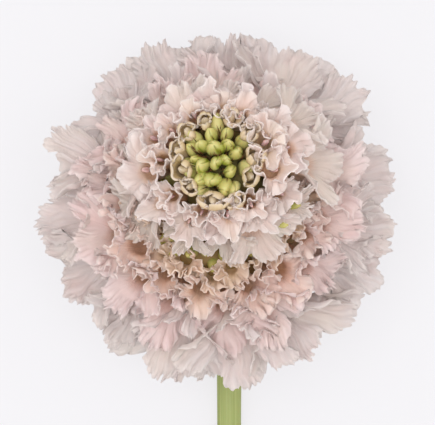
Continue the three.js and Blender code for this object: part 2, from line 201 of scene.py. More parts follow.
def rises(azimuth, where):
    """What azimuths add by bell curves: where lists each curve's middle, its spread and its height."""
    total = 0 * azimuth
    for middle, spread, height in where:
        off = (azimuth - middle + 180) % 360 - 180
        total = total + height * np.exp(-((off / spread) ** 2))
    return total


def places(kind):
    """Number, share of the way through the kind, azimuth, polar angle, width of the head there and
    size of each floret or bud: steps in azimuth and in the polar angle's cosine, with small draws.
    Skew adds to the polar angle with the cosine of the azimuth, oval widens the head and its florets
    with the cosine of twice the azimuth, and swells are bell curves of the size."""
    i = np.arange(kind["count"])
    t = (i + 0.5) / kind["count"]
    low, high = np.cos(np.radians(kind["polar"]))
    azimuth = kind["start"] + i * kind["step"] + draw(kind["seed"], i, 0) * kind["stray"]
    polar = np.degrees(np.arccos(mix((low, high), t))) + draw(kind["seed"], i, 1) * 1.5
    polar = polar + kind["skew"] * np.cos(np.radians(azimuth))
    oval = 1 + kind["oval"] * np.cos(2 * np.radians(azimuth))
    size = oval * (1 + kind["vary"] * draw(kind["seed"], i, 2))
    size = size * (1 + rises(azimuth, kind["swells"]))
    return i, t, azimuth, polar, oval, size


def square(axis, outward):
    """Directions square to an axis: what is left of outward, and the one that is square to both."""
    outward = unit(outward - axis * np.sum(outward * axis, -1, keepdims=True))
    return outward, np.cross(axis, outward)


# ---------------- florets

LOBES = np.arange(5)
LOBE_AT = np.array([0, 70, 143, -143, -70])  # degrees round a floret, from its outer side
LOBE_KIND = np.array([0, 1, 2, 2, 1])  # outer, side and inner lobe
LOBE_CALM = np.array([1, 0.8, 0, 0, 0.8])  # how far calm stills each lobe's frills
LIP_HALF = 1.3  # radians to either side of the outer one that the flat lip takes up


def lobed(kind, t, size, around, lot):
    """The five lobes at the angles round a floret. A lobe is a length times (1 - (off/width)^2.4)^0.7,
    and the reach is the fused part plus the lobes' power mean, close to the largest. The second result
    is each lobe's share of what happens at an angle."""
    off = np.radians(LOBE_AT + 7 * lot(10))[..., None] - around
    off = np.degrees(np.abs((off + np.pi) % (2 * np.pi) - np.pi))
    width = np.array(kind["width"])[LOBE_KIND] * (1 + 0.1 * lot(11))
    length = np.stack([mix(kind["lobes"][k], t) for k in LOBE_KIND], -1)
    length = length * (1 + kind["ragged"] * lot(12))
    rounded = np.clip(1 - (off / width[..., None]) ** 2.4, 0, 1) ** 0.7
    lobes = (length * size[:, None])[..., None] * rounded
    share = (rounded + 0.02) ** 4
    share = share / share.sum(1, keepdims=True)
    return kind["fused"] + np.sum(lobes**6, 1) ** (1 / 6), share


def pleated(kind, i, around, lot):
    """What a floret's pleats cut from its rim and how deep they fold it. Pleats are sines that fan out
    from the throat, scallops are a seventh as many, and grain is drawn anew for each column."""
    many, deep = kind["pleats"]
    pleats = many * around + 1.3 * np.sin(3 * around + 6 * lot(5)) + 3 * lot(6)
    scallops = pleats / 7 + 3 * lot(7)
    grain = draw(kind["seed"], i[:, None] * kind["columns"] + np.arange(kind["columns"]), 20)
    grain = grain + 0.5 * np.roll(grain, 1, 1)
    notch = 0.35 * grain + np.abs(np.sin(pleats / 2 + 0.6)) - 1 + 1.7 * (np.abs(np.sin(scallops)) - 1)
    return kind["teeth"] * notch, deep * (np.sin(pleats) - 3 * np.cos(2 * scallops))


def headings(kind, t, around, axes, cone, bend, opening):
    """Which way a floret's sheet runs. Its petals form a flat lip on the outer side, where they splay
    with the angle, and a cone on the inner side, with an S-curve between. They bend back by an angle,
    and opening takes them from the tube's cone to their own way."""
    vectors = lambda *parts: sum(axis[:, None] * part[..., None] for axis, part in zip(axes, parts))
    cos, sin = np.cos(around)[None], np.sin(around)[None]
    in_cone = lambda lean: vectors(np.cos(lean) + 0 * cos, np.sin(lean) * cos, np.sin(lean) * sin)
    signed = (around + np.pi) % (2 * np.pi) - np.pi
    splay = kind["splay"] * signed[None]
    lip, inner = (np.radians(mix(pair, t))[:, None] for pair in kind["lean"])
    fan = np.cos(splay)
    lip_way = vectors(fan * np.cos(lip), fan * np.sin(lip), np.sin(splay) + 0 * lip)
    lip_back = vectors(-np.sin(lip) + 0 * splay, np.cos(lip) + 0 * splay, 0 * (lip + splay))
    cone_back = vectors(-np.sin(inner) + 0 * cos, np.cos(inner) * cos, np.cos(inner) * sin)
    to_cone = smooth(np.abs(signed) - LIP_HALF)[None, :, None]
    way = unit(mix((lip_way, in_cone(inner)), to_cone))[:, None]
    back = unit(mix((lip_back, cone_back), to_cone))[:, None]
    petals = way * np.cos(bend) + back * np.sin(bend)
    return unit(mix((in_cone(cone)[:, None], petals), opening))


def frilled(kind, sheet, way, room, fold, lot):
    """A sheet with its frills and folds, which grow along the way from throat to rim. Frills are sines
    of the way along the rim, displaced along the normal and, at twice the rate, along the rim, so that
    they overhang. Folds are displaced along the normal."""
    rim = np.linalg.norm(np.roll(sheet[:, -1], -1, 1) - sheet[:, -1], axis=-1)
    total = rim.sum(1, keepdims=True)
    turns = 2 * np.pi * (np.cumsum(rim, 1) - rim) / total
    normal = normals(sheet)
    along_rim = unit(np.roll(sheet, -1, 2) - np.roll(sheet, 1, 2))
    for (deep, long, overhang, begin), which in zip(kind["frills"], (30, 40)):
        waves = np.round(total / long)
        phase = waves * turns + 1.1 * np.sin(2 * turns + 5 * lot(which)) + 9 * lot(which + 1)
        phase = phase[:, None] + 0.5 * np.sin(3 * way + 4 * lot(which + 2)[:, None])
        swell = deep * room * smooth((way - begin) / (1 - begin))
        swell = swell * (1 + 0.45 * np.sin(3 * turns + 7 * lot(which + 3)))[:, None]
        sheet = sheet + normal * (swell * np.sin(phase))[..., None]
        sheet = sheet - along_rim * (swell * overhang * np.sin(2 * phase))[..., None]
    return sheet + normal * (way**0.8 * room * fold[:, None])[..., None]


def florets(name, head, kind, material, node):
    """A ring of florets as one piece. A floret is a sheet over the angle round its axis and the way
    from root to rim: the sum of steps along its headings, a slim cone up to the throat and petals past
    it, as far as lobes and teeth reach. It is then pinched, frilled, crumpled and walled."""
    seed, columns, depth = kind["seed"], kind["columns"], kind["depth"]
    i, t, azimuth, polar, oval, size = places(kind)
    lot = lambda which: draw(seed, i, which)[:, None]
    lobe_lot = lambda which: draw(seed, i[:, None] * len(LOBES) + LOBES, which)

    faced, outward = head.outward(polar * kind["facing"], azimuth)
    axis = unit(faced + kind["tilt"] * (outward * lot(3) + np.cross(faced, outward) * lot(4)))
    outward, sideways = square(axis, outward)
    mouth = head.middle + head.towards(polar, azimuth, oval) * mix(kind["mouth"], t)[:, None]
    root = mouth - axis * depth

    around = circle(columns) - kind["crowd"] * np.sin(circle(columns))
    reach, share = lobed(kind, t, size, around, lobe_lot)
    of_lobe = lambda values: np.sum(share * values[..., None], 1)
    longest = reach.max(1, keepdims=True)
    notch, fold = pleated(kind, i, around, lot)
    reach = reach + notch * np.sqrt(reach / longest)

    # rows: the way up the tube, then the way q over the petals, closer at the rim
    tube, flat = kind["tube_rows"], kind["rows"]
    q = np.concatenate([np.zeros(tube), (np.arange(1, flat + 1) / flat) ** 0.8])[:, None]
    up_tube = np.minimum(np.arange(tube + flat) / (tube - 1), 1)[:, None] ** 0.5
    run = depth * up_tube + reach[:, None] * q
    cone = np.arctan((kind["throat"] * size[:, None] - kind["root"]) / depth)
    sway = kind["sway"] * of_lobe(lobe_lot(13))
    curl, by_lobe, begin = kind["curl"]
    curl = curl + by_lobe * of_lobe(lobe_lot(14))
    bend = np.radians(sway[:, None] + curl[:, None] * smooth((q - begin) / (1 - begin)))[..., None]
    opening = smooth(reach[:, None] * q / kind["flare"])[..., None]
    heading = headings(kind, t, around, (axis, outward, sideways), cone, bend, opening)
    steps = (heading[:, 1:] + heading[:, :-1]) / 2 * np.diff(run, axis=1)[..., None]
    ring = outward[:, None] * np.cos(around)[:, None] + sideways[:, None] * np.sin(around)[:, None]
    start = root[:, None, None] + kind["root"] * ring[:, None]
    sheet = np.concatenate([start, start + np.cumsum(steps, 1)], 1)
    off_axis = np.sum((sheet - root[:, None, None]) * sideways[:, None, None], -1, keepdims=True)
    pinch = kind["pinch"] * (lot(8) - 0.4)
    sheet = sheet + pinch[..., None, None] * off_axis * sideways[:, None, None]

    calm = 1 - kind["calm"] * of_lobe(np.broadcast_to(LOBE_CALM, (len(i), len(LOBES))))
    sheet = frilled(kind, sheet, q, (np.sqrt(reach / longest) * calm)[:, None], fold, lot)
    sheet = sheet + crumple(sheet, kind["crumple"] * smooth(q * 1.3))

    thickness = kind["thick"] * (1 - 0.45 * q) + kind["lip"] * q**8
    inside = tube - 2
    rings = press(wall(sheet, np.broadcast_to(thickness, run.shape), inside))
    twice = lambda values: np.concatenate([values, values[:, :inside - 1:-1]], 1)
    age = mix(kind["age"], t) + rises(azimuth, kind["ages"])
    marks = {
        "reach": twice(np.where(np.arange(tube + flat)[:, None] < tube, up_tube - 1, q) + 0 * run),
        "age": age[:, None, None] + 0.1 * lot(16)[..., None],
        "tint": of_lobe(lobe_lot(15))[:, None],
    }
    return skin(name, rings, marks, material, node)


def crumple(points, amount):
    """A shift that is alike for neighbours: four crossed sines of the place, some 6 mm long."""
    waves = np.array([[0.9, 0.35, 0.5], [-0.45, 1.0, 0.3], [0.3, -0.6, 1.1], [1.2, 0.8, -0.7]])
    pushes = unit(np.array([[0.2, -0.8, 0.6], [0.9, 0.3, 0.2], [-0.5, 0.7, 0.5], [0.1, 0.4, -0.9]]))
    sines = np.sin(points @ waves.T + np.array([0.3, 1.9, 4.1, 2.6]))
    return amount[..., None] * (sines @ pushes)


# ---------------- buds

SEAM = 0.07  # half width of the seam between a bud's lobes, as a share of a lobe
BUD_FOOT = 1.9  # how many lengths a bud's foot lies below its middle


def buds(name, head, kind, material, node):
    """A ring of closed buds as one piece. A bud is a spindle over the angle round its axis and the way
    from foot to tip. Its radius is half the width times sin(pi v)^0.6, and in its upper part it steps
    down after each of its overlapping, twisted lobes and dips at the seams between them. Cap makes its
    outline a little oval."""
    seed, columns, rows = kind["seed"], kind["columns"], kind["rows"]
    i, t, azimuth, polar, oval, size = places(kind)
    lot = lambda which: draw(seed, i, which)[:, None, None]
    along, outward = head.outward(polar, azimuth, oval)
    axis = unit(along + 0.16 * (outward * draw(seed, i, 3)[:, None]))
    outward, sideways = square(axis, outward)

    around = circle(columns)[None, None]
    v = (np.arange(rows) + 0.5)[None, :, None] / rows
    half, long = kind["half"]
    twist = around + 1.1 * v + 3.1 * lot(4)
    lobe = (twist + 0.5 * np.sin(twist + 3 * lot(5))) * kind["folds"] / (2 * np.pi)
    saw = lobe - np.floor(lobe)
    step = smooth(saw / 0.7) * smooth((1 - saw) / SEAM)
    upper = smooth((v - 0.35) / 0.3)
    ease = np.sin(np.pi * v) ** 0.6 * (0.85 + 0.2 * smooth(v / 0.6))
    seam = np.exp(-(np.minimum(saw, 1 - saw) / SEAM) ** 2) * upper
    swell = 0.16 * step * upper - 0.14 * seam
    cap = 1 + 0.15 * np.sin(2 * around + 5 * lot(6)) + 0.05 * np.sin(3 * around + 5 * lot(9))
    radius = (half * ease + swell * np.sin(np.pi * v) ** 0.5) * cap
    height = -long * BUD_FOOT + (1 + BUD_FOOT) * long * v + swell * smooth((v - 0.7) / 0.3)
    middle = head.middle + along * mix(kind["middle"], t)[:, None]
    size = size[:, None, None]
    out, aside = radius * np.cos(around) * size, radius * np.sin(around) * size
    rings = built(middle, (axis, height * size), (outward, out), (sideways, aside))
    marks = {
        "reach": v,
        "age": mix(kind["age"], t)[:, None, None] + 0.12 * lot(7),
        "tint": lot(8),
        # over: raised lobes, for a painted highlight, less the seams, for painted shade between lobes
        "over": step * upper - 1.5 * seam,
    }
    return skin(name, rings, marks, material, node)


BRISTLE_THICK, DOWN_THICK = 0.36, 0.07


def needles(name, foot, lean, long, thick, material, node):
    """Fine hairs as one piece: three-sided needles from a little below each foot along its lean, with
    a radius that falls from half the thickness to almost nothing at the tip."""
    lean = unit(lean)
    side = unit(np.cross(lean, np.array([0.31, 0.17, 0.94])))
    across = np.cross(lean, side)
    around = circle(3)
    level = np.array([-0.15, 0.5, 1.0])
    radius = thick / 2 * np.array([1, 0.7, 0.15])
    ring = side[:, None] * np.cos(around)[:, None] + across[:, None] * np.sin(around)[:, None]
    stalks = foot[:, None] + lean[:, None] * (long[:, None] * level)[..., None]
    rings = stalks[:, :, None] + ring[:, None] * radius[:, None, None]
    return skin(name, rings, {"reach": level[:, None].clip(0, 1)}, material, node)


def bristles(name, head, kind, material, node):
    """The dark bristles between closed buds: needles at even angles round each bud, a little outside
    it, from below its widest part to about its tip."""
    i, t, azimuth, polar, oval, size = places(kind)
    many = kind["bristles"]
    bud = np.repeat(np.arange(len(i)), many)
    n = np.arange(len(bud))
    turn = 2 * np.pi * (n % many) / many + 2 * draw(kind["seed"], n, 30)
    along, outward = head.outward(polar, azimuth, oval)
    sideways = np.cross(along, outward)
    off = outward[bud] * np.cos(turn)[:, None] + sideways[bud] * np.sin(turn)[:, None]
    half, long = kind["half"]
    middle = mix(kind["middle"], t)[bud, None]
    foot = head.middle + along[bud] * (middle - 0.9 * long) + off * half * 1.3 * size[bud, None]
    reach = long * (1.9 + 0.3 * draw(kind["seed"], n, 31))
    lean = along[bud] - 0.02 * off + 0.1 * sideways[bud] * draw(kind["seed"], n, 32)[:, None]
    return needles(name, foot, lean, reach, BRISTLE_THICK, material, node)


# ---------------- the green parts

STEM_R = 2.75
BEND_R = 27.0  # centreline radius of the bend behind the head
STEM_LEAN = math.radians(18)  # from the vertical where it meets the head
STEM_LIE = 62.0  # length that lies on the surface
STEM_X = 3.06  # how far to the right its straight part lies
CUT_SLANT = math.radians(40)  # of the cut face, off a square cut
CUT_SPAN = 16.0  # length over which the rings turn to follow the cut
# the dished cut face: share of the outline's radius, and how far in
CUT_DISH = (0.2, 0.9), (0.45, 0.75), (0.62, 0.25), (0.86, 0.12), (0.96, 0.02)
BRACTS, BRACT_LONG, BRACT_HALF = 12, 19.0, 2.5  # how many, and their length and half width
COLLAR = 128.0  # polar angle that they start from
DOWN_PER_BRACT = 70


def stem_line(along):
    """Centreline points at distances from the foot of the bend, and the length from there to the head:
    straight along the surface, an arc up, then straight into the head's back, drifting sideways with
    the square of the way."""
    sweep = math.pi / 2 - STEM_LEAN
    sunk = 0.6 * LOWER.cushion  # from the head's middle down to the stem's top
    lift = LOWER.middle[2] - sunk * math.cos(STEM_LEAN)
    run = (lift - STEM_R - BEND_R * (1 - math.cos(sweep))) / math.cos(STEM_LEAN)
    top_y = LOWER.middle[1] - sunk * math.sin(STEM_LEAN)
    foot = top_y - run * math.sin(STEM_LEAN) - BEND_R * math.sin(sweep)
    arc = BEND_R * sweep
    angle = np.clip(along / BEND_R, 0, sweep)
    past = np.maximum(along - arc, 0)
    drift = np.maximum(along, 0) / (arc + run)
    x = STEM_X + (LOWER.middle[0] - STEM_X) * drift**2
    y = foot + np.minimum(along, 0) + BEND_R * np.sin(angle) + past * np.cos(angle)
    z = STEM_R + BEND_R * (1 - np.cos(angle)) + past * np.sin(angle)
    return np.stack([x, y, z], -1), arc + run


def stem(material):
    """The stem: a ribbed outline carried along its line, with six broad ribs and finer ridges between,
    slightly thicker at the bend and closed at its slanting cut by a dished face."""
    columns, rows = 72, 90
    around = circle(columns)
    ribs = 0.13 * (1 - np.abs(np.sin(3 * around)) ** 0.7) - 0.05
    ridges = 0.035 * np.sin(24 * around + 1.0)
    share = np.linspace(0, 1, rows)[:, None]
    _, total = stem_line(np.zeros(1))
    along = -STEM_LIE + share * (STEM_LIE + total)
    wander = 0.05 * np.sin(along / 11 + 1) + 0.03 * np.sin(along / 4.7 + around * 2)
    radius = STEM_R * 1.02 + ribs + ridges + wander * 0.8
    radius = radius * (1 + 0.06 * smooth((along - 20) / 15))
    rise, across = -radius * np.cos(around), radius * np.sin(around)
    # rings near the cut follow its slanting face
    cut = (STEM_R + rise) * math.tan(CUT_SLANT)
    along = along + cut * np.clip(1 - (along + STEM_LIE) / CUT_SPAN, 0, 1)
    centre, _ = stem_line(along)
    ahead, _ = stem_line(along + 0.05)
    way = unit(ahead - centre)
    side = unit(np.cross(way, np.array([0, 0, 1.0])))
    up = np.cross(side, way)
    tube = centre + up * rise[..., None] + side * across[..., None]
    middle = tube[0].mean(0)
    dish = [middle + (tube[0] - middle) * scale + np.array([0, inset, 0]) for scale, inset in CUT_DISH]
    rings = press(np.concatenate([np.stack(dish), tube])[None], 0.5)
    level = np.concatenate([np.full((len(dish), columns), -1.0), 0 * radius + share])[None]
    return skin("stem", rings, {"reach": level}, material, "stem_and_cushions")


def cushion(name, head, radii, low, high, material):
    """A receptacle: rings of a sphere between two polar angles, pitted by crossed sines like the seats
    that florets leave. Its radius goes by S-curves from the pair's first at the ends to its second."""
    columns, rows = 48, 24
    azimuth = 360 * np.arange(columns)[None] / columns
    polar = np.linspace(high, low, rows)[:, None]
    radius = mix(radii, smooth((polar - 30) / 20) * smooth((125 - polar) / 20))
    pits = np.sin(np.radians(azimuth) * 14 + polar / 4) * np.sin(polar / 3.2)
    radius = radius + 0.3 * pits * np.sin(np.radians(polar))
    rings = (head.middle + head.towards(polar, azimuth) * radius[..., None])[None]
    return skin(name, rings, {"reach": 1.0}, material, "stem_and_cushions")


def neck(material):
    """The short stalk between the two heads: a round outline that narrows at the middle."""
    columns, rows = 48, 16
    around = circle(columns)
    share = np.linspace(0, 1, rows)[:, None, None]
    radius = 4 - 0.9 * np.sin(np.pi * share) + 0.12 * np.sin(9 * around)[None, :, None]
    centre = LOWER.middle + (CROWN.middle - LOWER.middle) * share
    way = unit(CROWN.middle - LOWER.middle)
    side = unit(np.cross(way, np.array([0, 0, 1.0])))
    up = np.cross(side, way)
    rings = centre + radius * (side * np.cos(around)[:, None] - up * np.sin(around)[:, None])
    return skin("neck", rings[None], {"reach": 1.0}, material, "stem_and_cushions")


def bracts(material, down_material):
    """The bracts behind the lower head, with their down: blades with a keel below and slightly rolled
    edges, arching back from the collar with the square of the way along them."""
    columns, rows = 20, 26
    i = np.arange(BRACTS)
    azimuth = 360 * i / BRACTS + 15 + draw(7, i, 0) * 3
    long = BRACT_LONG * np.where(i % 2, 0.84, 1) * (1 + 0.06 * draw(7, i, 1))
    along, up = LOWER.towards(120.0, azimuth), LOWER.towards(30.0, azimuth)
    side = np.cross(up, along)
    start = LOWER.middle + LOWER.towards(COLLAR, azimuth) * (LOWER.cushion - 0.6)
    share = np.linspace(0, 1, rows)[None, :, None]
    around = circle(columns)[None, None]
    half = BRACT_HALF * (1 - share**2.2) ** 0.8 * (0.8 + 0.35 * np.sin(np.pi * share**0.8)) + 0.05
    across = half * np.cos(around)
    keel = 0.5 * np.exp(-((across / 0.45) ** 2)) * (1 - 0.7 * share)
    thick = np.where(np.sin(around) < 0, -0.3 - keel, 0.25 - 0.15 * keel)
    thick = thick * np.abs(np.sin(around)) ** 0.5 * (1 - 0.6 * share)
    lift = thick + 0.16 * across**2 - 3.4 * share**2
    lift = lift + 0.15 * np.sin(share * 11 + 2 * i[:, None, None])
    onward = share * long[:, None, None] + 0 * around
    rings = press(built(start, (along, onward), (side, across), (up, lift)))
    marks = {"reach": share, "tint": draw(7, i, 5)[:, None, None], "over": np.abs(across / BRACT_HALF)}
    skin("bracts", rings, marks, material, "involucre_bracts")
    down(rings, down_material)


def down(rings, material):
    """Short down on the bracts' outer faces: each hair starts between four neighbouring points of a
    bract's rings, stands off it and leans towards the tip."""
    count, rows, columns = rings.shape[:3]
    hair = np.arange(count * DOWN_PER_BRACT)
    bract = hair // DOWN_PER_BRACT
    lot = lambda which: draw(8, hair, which)
    row = mix((0.04, 0.93), 0.5 + 0.5 * lot(0)) * (rows - 1)
    column = mix((0.5, 1.0), 0.5 + 0.5 * lot(1)) * columns
    row_at, column_at = row.astype(int), column.astype(int)
    corner = lambda on, over: rings[bract, row_at + on, (column_at + over) % columns]
    edge = lambda on: mix((corner(on, 0), corner(on, 1)), (column - column_at)[:, None])
    foot = mix((edge(0), edge(1)), (row - row_at)[:, None])
    off = normals(rings)[bract, row_at, column_at % columns]
    tipwards = unit(corner(1, 0) - corner(0, 0))
    lean = off + 0.5 * tipwards + 0.3 * np.cross(off, tipwards) * lot(2)[:, None]
    long = 0.75 + 0.25 * lot(3)
    return needles("bract_down", foot, lean, long, DOWN_THICK, material, "involucre_bracts")


# ---------------- materials


class Shader:
    """A node tree in which any node is one call, and a socket is a number to reckon with."""

    def __init__(self, name):
        self.material = bpy.data.materials.new(name)
        self.material.use_nodes = True
        self.tree = self.material.node_tree
        self.tree.nodes.clear()

    def node(self, kind, settings=(), **inputs):
        """A node of a kind, with its settings and then the values or links of its inputs, which are
        named by their labels with _ for a space, or by n and a number."""
        made = self.tree.nodes.new("ShaderNode" + kind)
        for key, value in dict(settings).items():
            setattr(made, key, value)
        for key, value in inputs.items():
            index = int(key[1:]) if key[1:].isdigit() else key.replace("_", " ")
            socket = made.inputs[index]
            if isinstance(value, Value):
                self.tree.links.new(value.socket, socket)
            else:
                socket.default_value = value
        return made

    def value(self, node, output=0):
        """One of a node's outputs, to reckon with."""
        return Value(self, node.outputs[output])

    def mark(self, name):
        """A point attribute of the piece."""
        return self.value(self.node("Attribute", {"attribute_name": name}), "Fac")

    def noise(self, vector, scale, detail):
        """Cloudy values from about 0.2 to 0.8."""
        made = self.node("TexNoise", Vector=vector, Scale=scale, Detail=detail, Roughness=0.55)
        return self.value(made)

    def clouds(self, scale, detail=2.0):
        """Noise over object coordinates, in metres."""
        return self.noise(self.value(self.node("TexCoord"), "Object"), scale, detail)

    def streaks(self, across, along, detail=2.0):
        """Noise over the piece's own UV map, with turns times across and millimetres times along."""
        own = self.value(self.node("UVMap", {"uv_map": "own"}))
        scaled = self.node("VectorMath", {"operation": "MULTIPLY"}, n0=own, n1=(across, along, 1))
        return self.noise(self.value(scaled), 1.0, detail)

    def blend(self, factor, a, b):
        """Colour a where factor is 0, colour b where it is 1."""
        made = self.node("Mix", {"data_type": "RGBA"}, n0=factor, n6=a, n7=b)
        return self.value(made, 2)

    def ramp(self, factor, *stops):
        """A smooth run of colours over factor, each stop a position and 0 to 255 numbers."""
        made = self.node("ValToRGB", n0=factor)
        made.color_ramp.interpolation = "EASE"
        while len(made.color_ramp.elements) < len(stops):
            made.color_ramp.elements.new(0.5)
        for element, (position, *colour) in zip(made.color_ramp.elements, stops):
            element.position, element.color = position, srgb(*colour)
        return self.value(made)

    def bump(self, height, strength, distance):
        """Normals that lean as if the surface rose by height times distance, in metres."""
        return self.value(self.node("Bump", Height=height, Strength=strength, Distance=distance))

    def surface(self, colour, roughness, normal, **more):
        """A surface that reflects in this colour, with these normals."""
        looks = {"Base_Color": colour, "Roughness": roughness, "Normal": normal}
        return self.node("BsdfPrincipled", **looks, **more)

    def mixed(self, factor, first, second):
        """Two shaders: the first where factor is 0, the second where it is 1."""
        made = self.node("MixShader", n0=factor)
        self.tree.links.new(first.outputs[0], made.inputs[1])
        self.tree.links.new(second.outputs[0], made.inputs[2])
        return made

    def finish(self, shader):
        """The material, with this shader as its surface."""
        out = self.node("OutputMaterial")
        self.tree.links.new(shader.outputs[0], out.inputs["Surface"])
        return self.material


class Value:
    """A socket that takes part in sums: each operator adds a Math node."""

    def __init__(self, shader, socket):
        self.shader, self.socket = shader, socket

    def math(self, operation, a, b=0.0, clamp=False):
        """A Math node's result."""
        made = self.shader.node("Math", {"operation": operation, "use_clamp": clamp}, n0=a, n1=b)
        return self.shader.value(made)

    __add__ = __radd__ = lambda self, other: self.math("ADD", self, other)
    __mul__ = __rmul__ = lambda self, other: self.math("MULTIPLY", self, other)
    __sub__ = lambda self, other: self.math("SUBTRACT", self, other)
    __rsub__ = lambda self, other: self.math("SUBTRACT", other, self)

    def clip(self):
        """This value kept between 0 and 1."""
        return self.math("ADD", self, 0.0, clamp=True)


def srgb(r, g, b):
    """A linear colour from its usual 0 to 255 numbers."""
    shares = (r / 255, g / 255, b / 255)
    return (*(c / 12.92 if c <= 0.04045 else ((c + 0.055) / 1.055) ** 2.4 for c in shares), 1)


WARM, PINK = srgb(240, 232, 212), srgb(246, 212, 209)
# RIM_HIGHLIGHT is a painted highlight for the thin petal rims
VEIN, RIM_HIGHLIGHT = srgb(226, 204, 194), srgb(243, 232, 226)
RIPE, PITH = srgb(186, 178, 104), srgb(205, 208, 158)


def petal(name, young, old, through, share, vein=0.3, relief=0.35, vary=1.0):
    """Petal tissue: a run of colours from throat to rim for young florets and one for old ones, with
    warm and pink patches, paler veins that fan out from the throat, and a painted highlight along
    the rim. The share of light that passes through, in its own colour, grows towards the rim."""
    sh = Shader(name)
    reach, age, tint = sh.mark("reach"), sh.mark("age"), sh.mark("tint")
    drift = sh.clouds(160.0)
    way = (reach * 0.8 + 0.2 + (drift - 0.5) * 0.16).clip()
    colour = sh.blend(age.clip(), sh.ramp(way, *young), sh.ramp(way, *old))
    patch = sh.clouds(85.0)
    warm = (tint * 0.45 + (patch - 0.5) * 4.0).clip()
    colour = sh.blend(warm * 0.4 * vary, colour, WARM)
    pink = (tint * -0.45 + (drift - 0.5) * 4.0).clip()
    colour = sh.blend(pink * 0.35 * vary, colour, PINK)
    streak = sh.streaks(46.0, 0.05)
    fine = sh.streaks(150.0, 0.12)
    line = ((streak * 0.5 + fine * 0.5 - 0.42) * 4.0).clip()
    colour = sh.blend((1 - line) * vein, colour, VEIN)
    # painted highlight: the last stretch towards each rim is blended to a pale colour, as if its thin
    # edge caught the light
    colour = sh.blend(((reach - 0.92) * 14.0).clip() * 0.6, colour, RIM_HIGHLIGHT)
    folds = sh.bump(streak * 0.7 + fine * 0.5, relief, 0.001)
    surface = sh.surface(colour, 0.62, folds, Specular_IOR_Level=0.3)
    light = sh.node("BsdfTranslucent", Color=through)
    return sh.finish(sh.mixed(((way * 0.8 + 0.27) * share).clip(), surface, light))


def green(name, deep, fresh, pale, roughness, coat=0.0):
    """Smooth living green: deep at the foot, fresh above it and pale at the tip, riper with age. Over
    makes raised lobes paler, a painted highlight, and where it is below 0 seams deeper, a painted
    shade."""
    sh = Shader(name)
    reach, age, tint, over = sh.mark("reach"), sh.mark("age"), sh.mark("tint"), sh.mark("over")
    cloud = sh.clouds(420.0, 3.0)
    way = (reach * 0.9 + (cloud - 0.5) * 0.3).clip()
    colour = sh.ramp(way, (0.0, *deep), (0.62, *fresh), (0.95, *pale))
    # painted highlight: raised bud lobes, where over is above 0, are blended paler; tint makes some
    # pieces paler at random, and on bracts over makes the edges paler
    colour = sh.blend((over * 0.5 + tint * 0.35).clip(), colour, srgb(*pale))
    colour = sh.blend(age.clip() * 0.8, colour, RIPE)
    # painted shade: where over is below 0, at the seams between a bud's lobes, the colour goes to the
    # deep green
    colour = sh.blend((over * -0.35).clip(), colour, srgb(*deep))
    streak = sh.streaks(24.0, 0.1)
    grain = sh.bump(streak * 0.5 + cloud * 0.5, 0.3, 0.0003)
    below = {"Subsurface_Weight": 0.15, "Subsurface_Scale": 0.001}
    return sh.finish(sh.surface(colour, roughness, grain, Coat_Weight=coat, **below))


def stalk():
    """The stem's skin: yellow-green with paler and darker streaks lengthwise; pith where it is cut."""
    sh = Shader("stem")
    reach = sh.mark("reach")
    streak = sh.streaks(30.0, 0.015, 3.0)
    fine = sh.streaks(110.0, 0.05)
    cloud = sh.clouds(90.0, 3.0)
    colour = sh.ramp(
        (streak * 0.75 + fine * 0.35 - 0.05).clip(),
        (0.25, 108, 121, 56), (0.5, 145, 154, 92), (0.78, 184, 188, 134),
    )
    colour = sh.blend((cloud - 0.35).clip() * 0.8, colour, srgb(150, 160, 78))
    colour = sh.blend((reach * -1.0).clip(), colour, PITH)
    ridges = sh.bump(streak * 0.6 + fine * 0.4, 0.4, 0.0004)
    below = {"Subsurface_Weight": 0.1, "Subsurface_Scale": 0.002}
    return sh.finish(sh.surface(colour, 0.48, ridges, **below))


OLIVE, PEACH, CREAM, BLUSH = (202, 164, 106), (243, 216, 204), (219, 216, 207), (224, 218, 218)

# Petals: stops for young and for old florets, the colour of the light that passes through, its share.
RAY_PETAL = petal(
    "ray_petal",
    [(0.2, 214, 166, 120), (0.34, *PEACH), (0.6, 234, 220, 218), (1, *BLUSH)],
    [(0, *OLIVE), (0.24, *PEACH), (0.6, 228, 221, 221), (1, 222, 218, 218)],
    (0.95, 0.918, 0.908, 1), 0.57, vein=0.4, relief=0.65,
)
FRILL_PETAL = petal(
    "frill_petal",
    [(0.2, 220, 164, 118), (0.38, 248, 204, 184), (0.54, 252, 228, 222), (1, 244, 235, 234)],
    [(0.2, 220, 164, 118), (0.36, 248, 208, 196), (0.52, 250, 229, 226), (1, 241, 232, 233)],
    (0.99, 0.92, 0.91, 1), 0.66, relief=0.7,
)
PEACH_PETAL = petal(
    "peach_petal",
    [(0.2, 216, 160, 112), (0.4, 236, 186, 150), (0.65, 242, 212, 192), (1, 245, 232, 225)],
    [(0.2, 220, 164, 118), (0.4, 248, 204, 186), (0.56, 252, 228, 222), (1, 243, 232, 229)],
    (0.99, 0.92, 0.89, 1), 0.6, relief=0.6,
)
TAN_PETAL = petal(
    "tan_petal",
    [(0, 190, 152, 96), (0.3, 192, 160, 106), (0.6, 210, 184, 150), (1, 243, 228, 212)],
    [(0, *OLIVE), (0.3, 210, 172, 130), (0.6, 232, 206, 186), (1, 245, 231, 222)],
    (1, 0.885, 0.77, 1), 0.55,
)
CROWN_PETAL = petal(
    "crown_petal",
    [(0.2, 236, 170, 118), (0.36, 248, 208, 180), (0.54, 250, 232, 227), (1, 242, 235, 233)],
    [(0.2, 220, 172, 122), (0.36, 238, 206, 184), (0.56, 229, 218, 208), (1, *CREAM)],
    (1, 0.962, 0.957, 1), 0.66, relief=0.6,
)
